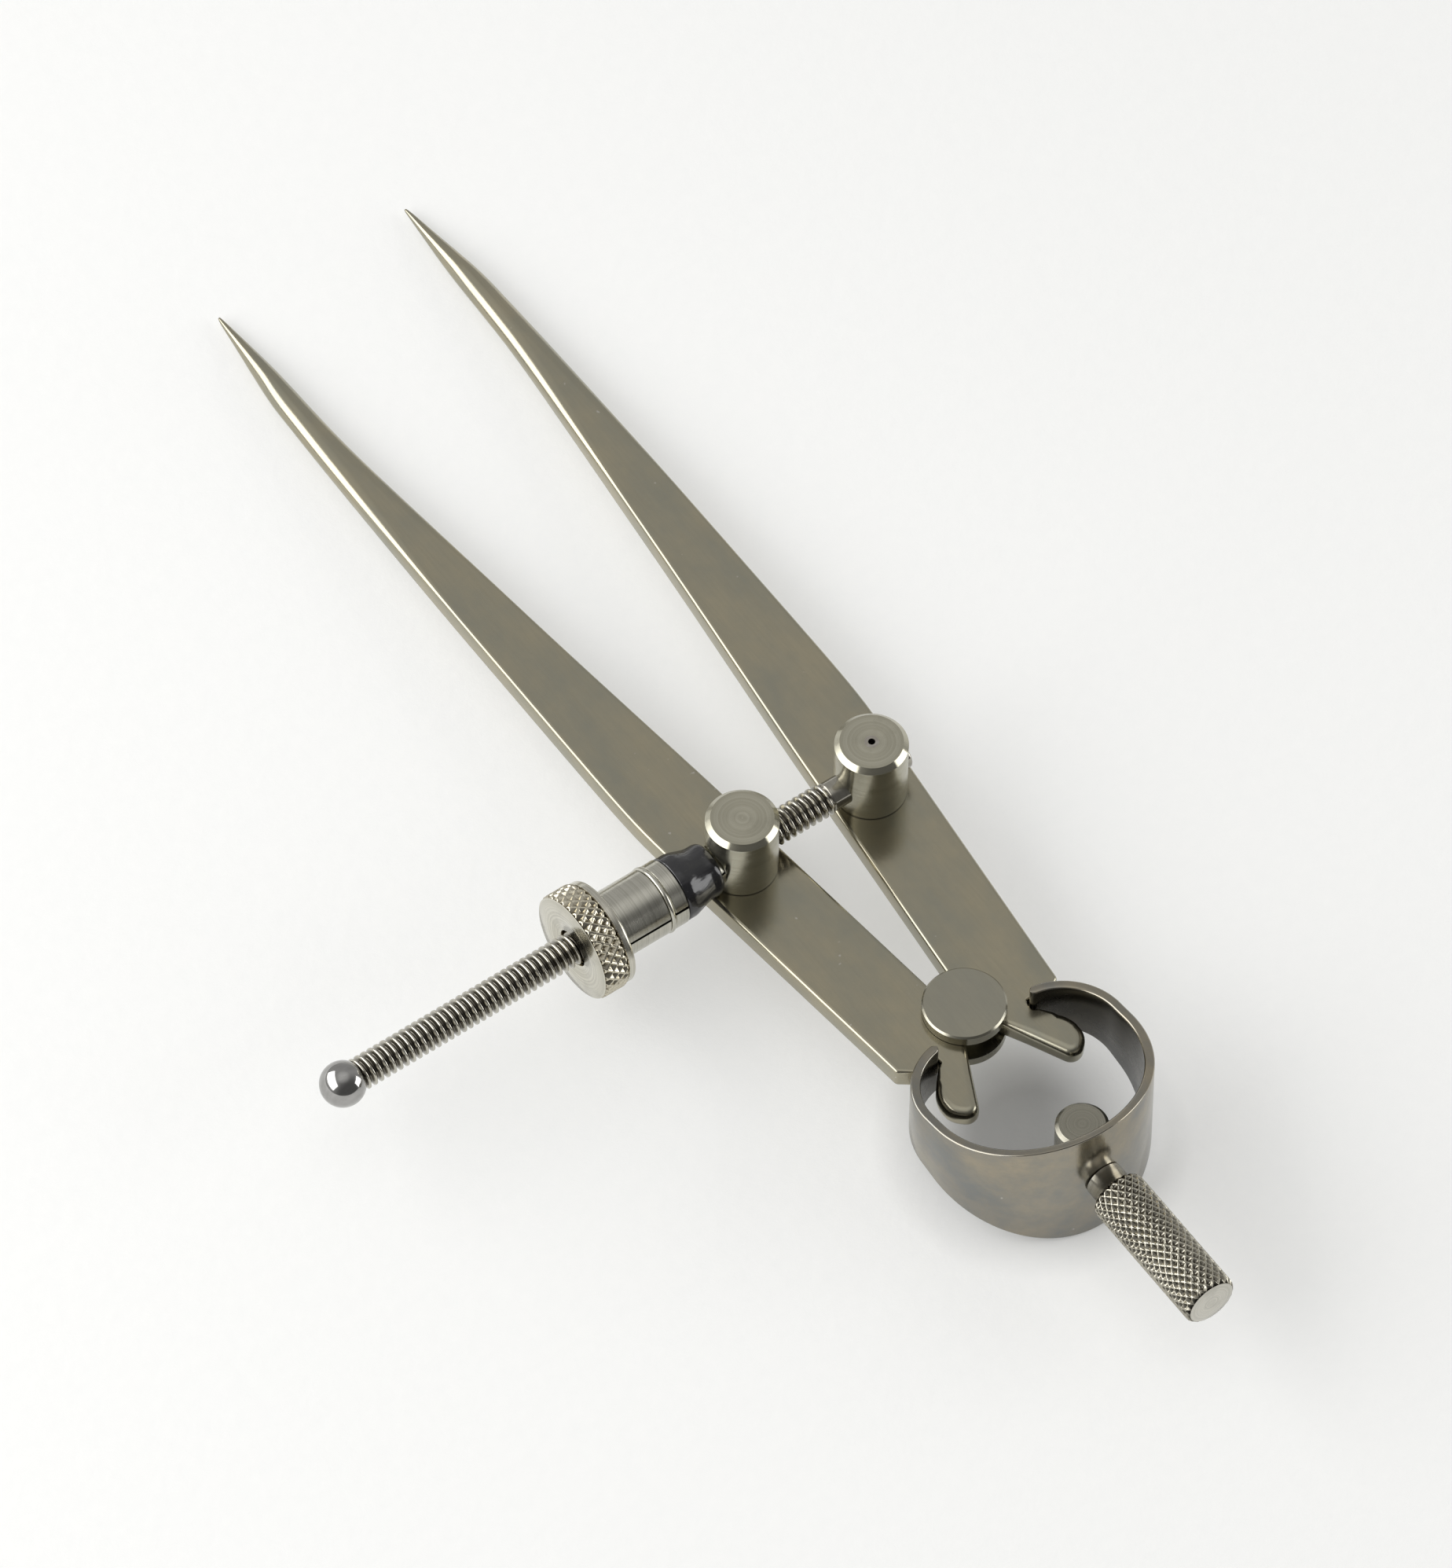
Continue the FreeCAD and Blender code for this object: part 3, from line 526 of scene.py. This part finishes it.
def screw_mesh():
    """A helical sheet closed by a fan at each end, with the plain end's nub beyond it."""
    low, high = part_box("adjusting_screw")
    start, end = low.x / MM, POST_R.x / MM
    crest = SCREW_R / MM - 0.01
    root = crest - THREAD_DEPTH
    count = SCREW_FACES
    verts, faces = [], []
    rows = int((end - start) / PITCH * THREAD_STEPS)
    for j in range(rows + 1):
        for i in range(count):
            along = start + PITCH * (j / THREAD_STEPS + i / count)
            turn = math.tau * i / count
            r = root + (crest - root) * thread_height(j / THREAD_STEPS)
            fade = min(1.0, max(0.0, (along - PLAIN_START + PLAIN_FADE) / PLAIN_FADE))
            r += (PLAIN_R - r) * fade
            verts.append(along_screw(r * math.cos(turn), r * math.sin(turn), along))
    for j in range(rows):
        for i in range(count):
            a, b = j * count + i, (j + 1) * count + i
            if i < count - 1:
                faces.append((a, a + 1, b + 1, b))
            elif j + 1 + THREAD_STEPS <= rows:
                wrap = (j + THREAD_STEPS) * count
                faces.append((a, wrap, wrap + count, b))
    first = [*range(count), *[j * count for j in range(THREAD_STEPS, 0, -1)]]
    last = [*[rows * count + i for i in range(count)],
            *[j * count + count - 1 for j in range(rows - 1, rows - THREAD_STEPS - 1, -1)]]
    for loop, along, flip in ((first, start + PITCH / 2, True), (last, end + PITCH / 2, False)):
        centre = len(verts)
        verts.append(along_screw(0.0, 0.0, along))
        for k, here in enumerate(loop):
            fan = (here, loop[(k + 1) % len(loop)], centre)
            faces.append(fan[::-1] if flip else fan)
    nub_end = high.x / MM
    nub = [(0.0, nub_end), (PLAIN_R - 0.35, nub_end)]
    nub += corner(PLAIN_R - NUB_ROUND, nub_end - NUB_ROUND, NUB_ROUND, 80, 0, 4)
    nub += [(PLAIN_R, end - NUB_INSIDE), (0.0, end - NUB_INSIDE)]
    return merge((verts, faces), stack(plain(nub, NUB_FACES), along_screw))


screw = new_piece("threaded_spindle", *screw_mesh(), mat_screw, "bright_steel", sharp=75.0)
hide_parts("adjusting_screw")
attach(screw, "right_post")


# ---------------------------------------------------------------- knurls

RIDGE_WIDEN, RIDGE_POWER = 1.1, 1.3  # blunt crests, hollow flanks
END_DROP = 0.8  # share of the depth that is gone at the ends
KNURL_STEP = 0.11


def knurl(radius, start, end, starts, axial_pitch, depth, count, edge):
    """Rows of a diamond knurl: crossed helical ridges that fade at both ends."""
    rows = round((end - start) / KNURL_STEP)
    out = []
    for j in range(rows + 1):
        along = start + (end - start) * j / rows
        fade = min(1.0, (along - start) / edge, (end - along) / edge)
        ring = []
        for i in range(count):
            turn = math.tau * i / count
            ridges = []
            for sign in (1, -1):
                phase = starts * i / count + sign * along / axial_pitch
                ridges.append(1 - 2 * abs((phase + 0.5) % 1.0 - 0.5))
            height = min(1.0, max(ridges) * RIDGE_WIDEN) ** RIDGE_POWER
            r = radius - depth * (1 - height) - depth * END_DROP * (1 - max(0.0, fade))
            ring.append((r, turn, along))
        out.append(ring)
    return out


# ---------------------------------------------------------------- handle

NECK_LEN, NECK_R, STEM_R = 3.0, 2.8, 1.9
GRIP_FACE_COUNT = 240
GRIP_STARTS, GRIP_PITCH, GRIP_DEPTH = 20, 1.53, 0.42
GRIP_FACES = (HANDLE_LOW.y / MM + 0.06, BOW_LOW.y / MM - NECK_LEN - 0.01)


def smooth_faces(obj, material, wanted):
    """Give a second material to the faces that pass the test."""
    obj.data.materials.append(material)
    for polygon in obj.data.polygons:
        if wanted(polygon):
            polygon.material_index = 1


def handle_mesh():
    """End face, knurled grip, thinner neck and plain stem."""
    grip_r = HANDLE_HIGH.x / MM
    end, bow_back = HANDLE_LOW.y / MM, BOW_LOW.y / MM
    grip_start, count = bow_back - NECK_LEN, GRIP_FACE_COUNT
    face_r = grip_r - 0.45
    rings = plain([(0.0, end), (face_r * 0.5, end), (face_r - 0.1, end),
                   (face_r, end + 0.05)], count)
    rings += knurl(grip_r, end + 0.08, grip_start - 0.02, GRIP_STARTS, GRIP_PITCH, GRIP_DEPTH,
                   count, 0.5)
    rings += plain([(grip_r - 0.6, grip_start), (NECK_R + 0.25, grip_start + 0.06),
                    (NECK_R, grip_start + 0.3), (NECK_R, bow_back - 0.1),
                    (NECK_R - 0.12, bow_back), (STEM_R, bow_back),
                    (STEM_R, HANDLE_HIGH.y / MM), (0.0, HANDLE_HIGH.y / MM)], count)

    def to_world(u, v, along):
        return (-u, along, HANDLE_Z / MM + v)
    verts, faces = stack(rings, to_world)
    return verts, [f[::-1] for f in faces]


handle = new_piece("knurled_handle", *handle_mesh(), mat_handle, "bright_steel", sharp=50.0)
smooth_faces(handle, mat_handle_end,
             lambda face: not GRIP_FACES[0] < face.center.y / MM < GRIP_FACES[1])
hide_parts("handle")
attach(handle, "frame")


# ---------------------------------------------------------------- nut head

HEAD_FRONT, HEAD_REAR = (HEAD_MID.x + HEAD_HALF.x) / MM, (HEAD_MID.x - HEAD_HALF.x) / MM
HEAD_FACES = 320
FLANGE_LEN, FLANGE_ROUND, FLANGE_DROP = 1.25, 0.45, 0.22
BORE_R, HOLE_R, HOLE_LEN = 4.3, 2.75, 1.3
HEAD_STARTS, HEAD_PITCH, HEAD_DEPTH = 32, 1.75, 0.46
KNURL_ENDS = (HEAD_REAR + 0.13, HEAD_FRONT - FLANGE_LEN - 0.01)


def head_mesh():
    """Rear face round the screw's hole, knurled band, plain flange and the open bore."""
    radius, count = HEAD_HALF.z / MM - 0.02, HEAD_FACES
    rear, front, flange = HEAD_REAR, HEAD_FRONT, HEAD_FRONT - FLANGE_LEN
    rim = radius - FLANGE_DROP
    rings = plain([(HOLE_R, rear + HOLE_LEN), (HOLE_R, rear + 0.12), (HOLE_R + 0.12, rear),
                   (radius * 0.7, rear), (radius - 0.3, rear), (radius - 0.18, rear + 0.08)],
                  count)
    rings += knurl(radius, rear + 0.12, flange, HEAD_STARTS, HEAD_PITCH, HEAD_DEPTH, count, 0.35)
    rings += plain([(rim - 0.12, flange + 0.03), (rim, flange + 0.12),
                    *corner(rim - FLANGE_ROUND, front - FLANGE_ROUND, FLANGE_ROUND, 0, 90, 6),
                    (BORE_R, front), (BORE_R, rear + HOLE_LEN)], count)
    verts, faces = stack(rings, along_screw)
    last = len(verts) - count
    faces += [(last + (i + 1) % count, last + i, i, (i + 1) % count) for i in range(count)]
    return verts, [f[::-1] for f in faces]


head = new_piece("knurled_head", *head_mesh(), mat_head_knurl, "bright_steel", sharp=50.0)
smooth_faces(head, mat_head, lambda face: not KNURL_ENDS[0] < face.center.x / MM < KNURL_ENDS[1])
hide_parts("nut_head")
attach(head, "nut")


# ---------------------------------------------------------------- rubber nose

SLOT_TURN = math.radians(15.5)
NOSE_FACES, NOSE_ROWS = 48, 40
NOSE_BORE, NOSE_WAIST, NOSE_CLEAR = 2.92, 3.88, 3.92
NOSE_NOSE, NOSE_ROUND = 0.55, 0.3  # rounding towards the post, rounding of both rims
NOSE_WAVE = 0.22


def from_slot(turn, side):
    """Unit (y, z) at an angle counted from the plane of the slot between the jaws."""
    across, up = math.cos(turn), math.sin(turn) * side
    return (across * math.cos(SLOT_TURN) + up * math.sin(SLOT_TURN),
            -across * math.sin(SLOT_TURN) + up * math.cos(SLOT_TURN))


def nose_half(side):
    """One half of the nose, on one side of the slot between the jaws."""
    low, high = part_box("nut_nose_sleeve")
    start, end = high.x / MM, low.x / MM
    length = start - end
    big = half_size("nut_nose_sleeve").z / MM
    count = NOSE_FACES

    def outer(share, turn):
        rise = min(1.0, share / 0.16)
        base = NOSE_WAIST - NOSE_NOSE + NOSE_NOSE * math.sqrt(1 - (1 - rise) ** 2)
        base += (big - NOSE_WAIST) * smooth(share, 0.22, 0.85)
        wave = noise.noise(Vector((share * 2.6, math.cos(turn) * 1.4, math.sin(turn) * 1.4 + 4.0)))
        base += NOSE_WAVE * wave * min(1.0, share * 3) * min(1.0, (1 - share) * 5)
        clear = NOSE_CLEAR + (big - NOSE_CLEAR) * smooth(share, 0.26, 0.4)
        return min(clear, base)

    verts, faces = [], []
    profile = [("in", 1.0), ("in", 0.0)]
    profile += [("out", j / NOSE_ROWS) for j in range(NOSE_ROWS + 1)]
    for kind, share in profile:
        for i in range(count + 1):
            turn = math.pi * i / count
            if kind == "in":
                r = NOSE_BORE
            else:
                r = outer(share, turn * side)
                missing = max(0.0, NOSE_ROUND - min(share, 1 - share) * length)
                r -= NOSE_ROUND - math.sqrt(max(0.0, NOSE_ROUND ** 2 - missing ** 2))
            y, z = from_slot(turn, side)
            verts.append(along_screw(r * y, r * z, start - share * length))
    width = count + 1
    order = len(profile)
    for j in range(order):
        a, b = j * width, ((j + 1) % order) * width
        for i in range(count):
            quad = (a + i, a + i + 1, b + i + 1, b + i)
            faces.append(quad if side < 0 else quad[::-1])
    ends = [tuple(j * width + i for j in range(order)) for i in (0, count)]
    faces += [ends[0], ends[1][::-1]] if side < 0 else [ends[0][::-1], ends[1]]
    name = "nose_upper_half" if side > 0 else "nose_lower_half"
    half = new_piece(name, verts, faces, mat_rubber, "black_rubber", sharp=80.0)
    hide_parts("nut_nose_sleeve")
    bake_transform(half)


nose_half(1)
nose_half(-1)


# ---------------------------------------------------------------- ring spring

RING_GAP = 0.8
WIRE_FACES, RING_STEPS = 14, 40


def ring_half(side):
    """Half of the open wire ring; the lower half holds its gap."""
    middle_x = middle("nut_ring_spring").x
    wire = half_size("nut_ring_spring").x / MM
    ring_r = half_size("nut_ring_spring").z / MM - wire
    lowest = math.pi / 2 - SLOT_TURN
    half_gap = RING_GAP / 2 / ring_r
    arcs = [(0.0, math.pi)]
    if side < 0:
        arcs = [(0.0, lowest - half_gap), (lowest + half_gap, math.pi)]
    verts, faces, size = [], [], WIRE_FACES
    for start, end in arcs:
        first = len(verts)
        steps = round(RING_STEPS * (end - start) / math.pi)
        for j in range(steps + 1):
            y, z = from_slot(start + (end - start) * j / steps, side)
            for i in range(size):
                spin = math.tau * i / size
                r = ring_r + wire * math.cos(spin)
                verts.append(along_screw(r * y, r * z, middle_x / MM + wire * math.sin(spin)))
        for j in range(steps):
            for i in range(size):
                a, b = first + j * size, first + (j + 1) * size
                quad = (a + i, a + (i + 1) % size, b + (i + 1) % size, b + i)
                faces.append(quad if side < 0 else quad[::-1])
        near = tuple(first + i for i in range(size))
        far = tuple(first + steps * size + i for i in range(size))
        faces += [near[::-1], far] if side < 0 else [near, far[::-1]]
    name = "ring_upper_half" if side > 0 else "ring_lower_half"
    half = new_piece(name, verts, faces, mat_nut, "bright_steel", sharp=60.0)
    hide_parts("nut_ring_spring")
    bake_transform(half)


ring_half(1)
ring_half(-1)


# ---------------------------------------------------------------- bow spring

BOW_THICK = 1.4
BEND_R, BEND_Y, HOOK_X = 9.5, -13.1, 8.6  # the bend above the legs, the x where its hook ends
BACK_STEPS, SIDE_STEPS, BEND_STEPS, TIP_STEPS = 48, 4, 32, 8
BACK_HALF, FRONT_HALF, FRONT_Y, SCALLOP_R = 11.6, 4.8, -3.6, 67.0
BAND_ROUND = 0.34
BAND_CORNER_FACES = 3


def bow_path():
    """Outer line of one bow half, from the back to its hooked end, with its outward normal."""
    outer_r = BOW_HIGH.x / MM
    centre_y, bend_x = BOW_LOW.y / MM + outer_r, outer_r - BEND_R
    points = []
    for i in range(BACK_STEPS + 1):
        t = math.radians(-90 + 90 * i / BACK_STEPS)
        points.append((outer_r * math.cos(t), centre_y + outer_r * math.sin(t),
                       math.cos(t), math.sin(t)))
    for i in range(1, SIDE_STEPS + 1):
        points.append((outer_r, centre_y + (BEND_Y - centre_y) * i / SIDE_STEPS, 1.0, 0.0))
    last = math.acos((HOOK_X - bend_x) / BEND_R)
    for i in range(1, BEND_STEPS + 1):
        t = last * i / BEND_STEPS
        points.append((bend_x + BEND_R * math.cos(t), BEND_Y + BEND_R * math.sin(t),
                       math.cos(t), math.sin(t)))
    return points


def bow_half_height(y):
    """Half height of the band at a given y: a shallow scallop from the back to the ends."""
    back = BOW_LOW.y / MM
    mid_y, mid_h = (back + FRONT_Y) / 2, (BACK_HALF + FRONT_HALF) / 2
    dy, dh = FRONT_Y - back, FRONT_HALF - BACK_HALF
    chord = math.hypot(dy, dh)
    off = math.sqrt(SCALLOP_R * SCALLOP_R - chord * chord / 4)
    cy, ch = mid_y - dh / chord * off, mid_h + dy / chord * off
    return ch - math.sqrt(SCALLOP_R * SCALLOP_R - (y - cy) ** 2)


def bow_mesh(side):
    """A band with rounded edges, swept along one half of the bow and rounded at its end."""
    points = bow_path()
    x, y, nx, ny = points[-1]
    cap = BOW_THICK / 2
    sections = [(p, 0.0, BOW_THICK) for p in points]
    for i in range(1, TIP_STEPS):
        lean = math.radians(90 * i / TIP_STEPS)
        step = cap * math.sin(lean)
        shrink = cap * (1 - math.cos(lean))
        sections.append(((x - ny * step, y + nx * step, nx, ny), shrink, BOW_THICK - shrink))
    verts, faces = [], []
    z0 = MID_Z / MM
    for (px, py, qx, qy), near, far in sections:
        edge = min(BAND_ROUND, (far - near) * 0.48)
        ring = []
        for depth, sign, start in ((far, 1, 0), (near, 1, 90), (near, -1, 180), (far, -1, 270)):
            for k in range(BAND_CORNER_FACES + 1):
                t = math.radians(start + 90 * k / BAND_CORNER_FACES)
                toward_far = edge if depth == far else -edge
                d = depth - toward_far + edge * math.cos(t)
                ring.append((d, sign, edge * math.sin(t) - edge * sign))
        for d, sign, lift in ring:
            vx, vy = px - qx * d, py - qy * d
            verts.append((side * vx, vy, z0 + sign * bow_half_height(vy) + lift))
    size = len(verts) // len(sections)
    for j in range(len(sections) - 1):
        for i in range(size):
            quad = (j * size + i, j * size + (i + 1) % size,
                    (j + 1) * size + (i + 1) % size, (j + 1) * size + i)
            faces.append(quad if side > 0 else quad[::-1])
    tip = tuple((len(sections) - 1) * size + i for i in range(size))
    faces.append(tip if side > 0 else tip[::-1])
    return verts, faces


def bow_half(side, name):
    half = new_piece(name, *bow_mesh(side), mat_bow, "spring_steel", sharp=50.0)
    bow_axis = Vector((0.0, BOW_LOW.y + BOW_HIGH.x, MID_Z))

    def faces_inward(face):
        inward = bow_axis - face.center
        inward.z = 0.0
        return abs(face.normal.z) < 0.5 and face.normal.dot(inward.normalized()) > 0.5
    # painted shade on the faces that look into the bow
    smooth_faces(half, mat_bow_inside_painted_shade, faces_inward)
    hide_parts("bow_spring")
    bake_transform(half)


bow_half(-1, "bow_left_half")
bow_half(1, "bow_right_half")


# ---------------------------------------------------------------- floor, camera, light

FLOOR_BACK = Vector((0.0, BOW_LOW.y, BOW_LOW.z))
TOUCH_V, TOUCH_HALF = 142.0, 1.45  # where the belly of a point rests
FLOOR_FRONT = Vector((0.0, TOUCH_V * math.cos(TILT) * MM, MID_Z - TOUCH_HALF * MM))
SLOPE = math.atan2(FLOOR_FRONT.z - FLOOR_BACK.z, FLOOR_FRONT.y - FLOOR_BACK.y)
FLOOR_HALF = 2.5
FIBRE_BUMP = 0.6 * MM
BOW_SHADOW = (0.0, 0.016, 0.0)  # middle of the painted shadow round the head
SHADOW_R, LIT_R = 0.008, 0.022
SHADOW_GLOW, LIT_GLOW = 0.05, 0.36


def make_floor():
    g = Graph("floor_paper")
    fibre = g.noise(g.where, scale=420.0, detail=4.0, rough=0.6)
    g.feed(g.shader.inputs["Base Color"], g.mix(fibre, (0.6, 0.605, 0.6), (0.64, 0.64, 0.63)))
    g.shader.inputs["Roughness"].default_value = 0.9
    g.shader.inputs["Specular IOR Level"].default_value = 0.1
    # painted light: the floor glows, and the glow is dimmed into a painted shadow round the head
    g.shader.inputs["Emission Color"].default_value = (1.0, 1.0, 0.985, 1.0)
    shade_radius = g.from_axis(BOW_SHADOW, "Z")[0]
    g.feed(g.shader.inputs["Emission Strength"],
           g.span(shade_radius, SHADOW_R, LIT_R, SHADOW_GLOW, LIT_GLOW))
    g.feed(g.shader.inputs["Normal"], g.bump(fibre, 0.12, FIBRE_BUMP))
    mesh = bpy.data.meshes.new("floor")
    size = FLOOR_HALF
    mesh.from_pydata([(-size, -size, 0), (size, -size, 0), (size, size, 0), (-size, size, 0)],
                     [], [(0, 1, 2, 3)])
    floor = bpy.data.objects.new("floor", mesh)
    floor.data.materials.append(g.material)
    floor.location = FLOOR_BACK
    floor.rotation_euler = Euler((SLOPE, 0.0, 0.0))
    bpy.context.scene.collection.objects.link(floor)


make_floor()

# the picture plane: its scale, its axes and where the tool's origin falls on it
PX_PER_MM = 9.406
RIGHT = Vector((0.8102, -0.5860, 0.0172))
UP = Vector((0.4777, 0.6770, 0.5599))
BACK = RIGHT.cross(UP).normalized()
UP = BACK.cross(RIGHT).normalized()
IMAGE = (1848, 1995)
ORIGIN_PX = (1226.15, 1311.3)
DISTANCE = 6.0
SENSOR = 36.0


def make_camera():
    data = bpy.data.cameras.new("camera")
    camera = bpy.data.objects.new("camera", data)
    across = (IMAGE[0] / 2 - ORIGIN_PX[0]) / PX_PER_MM * MM
    above = (ORIGIN_PX[1] - IMAGE[1] / 2) / PX_PER_MM * MM
    target = RIGHT * across + UP * above
    view_height = IMAGE[1] / PX_PER_MM * MM
    data.sensor_width = SENSOR
    data.lens = data.sensor_width * DISTANCE / view_height
    data.clip_start, data.clip_end = 0.5, 20.0
    turned = Matrix((RIGHT, UP, BACK)).transposed()
    camera.matrix_world = Matrix.Translation(target + BACK * DISTANCE) @ turned.to_4x4()
    bpy.context.scene.collection.objects.link(camera)
    bpy.context.scene.camera = camera


make_camera()


LIGHT_DISTANCE = 0.75
LIGHT_RADIANCE = 3.2


def area_light(name, direction, width, height):
    """A rectangular soft light that shines on the tool's origin."""
    data = bpy.data.lights.new(name, "AREA")
    data.shape = "RECTANGLE"
    data.size, data.size_y = width, height
    data.energy = LIGHT_RADIANCE * math.pi * width * height
    light = bpy.data.objects.new(name, data)
    direction = Vector(direction).normalized()
    light.location = direction * LIGHT_DISTANCE
    light.rotation_mode = "QUATERNION"
    light.rotation_quaternion = direction.to_track_quat("Z", "Y")
    bpy.context.scene.collection.objects.link(light)


area_light("softbox_left", (-0.72, 0.42, 0.5), 1.15, 0.5)
area_light("softbox_right", (0.80, -0.53, 0.27), 0.5, 0.42)


WORLD_LEVEL = 0.52


def make_world():
    """An even white surrounding, dimmer towards the front and brighter overhead."""
    world = bpy.data.worlds.new("studio")
    world.use_nodes = True
    bpy.context.scene.world = world
    tree = world.node_tree
    background = tree.nodes["Background"]
    where = tree.nodes.new("ShaderNodeTexCoord")
    split = tree.nodes.new("ShaderNodeSeparateXYZ")
    tree.links.new(where.outputs["Generated"], split.inputs[0])

    def span(socket, low, high, to_low, to_high):
        node = tree.nodes.new("ShaderNodeMapRange")
        node.interpolation_type = "SMOOTHSTEP"
        for key, value in zip((1, 2, 3, 4), (low, high, to_low, to_high)):
            node.inputs[key].default_value = value
        tree.links.new(socket, node.inputs[0])
        return node.outputs[0]

    def combine(operation, a, b):
        node = tree.nodes.new("ShaderNodeMath")
        node.operation = operation
        for socket, value in zip(node.inputs, (a, b)):
            if isinstance(value, bpy.types.NodeSocket):
                tree.links.new(value, socket)
            else:
                socket.default_value = value
        return node.outputs[0]

    front = span(split.outputs[1], -0.75, 0.1, 0.28, 1.0)
    zenith = span(split.outputs[2], 0.8, 1.0, 0.0, 0.3)
    level = combine("ADD", combine("MULTIPLY", front, WORLD_LEVEL), zenith)
    tree.links.new(level, background.inputs["Strength"])
    background.inputs["Color"].default_value = (1.0, 0.995, 0.98, 1.0)


make_world()
bpy.context.scene.view_settings.view_transform = "Standard"
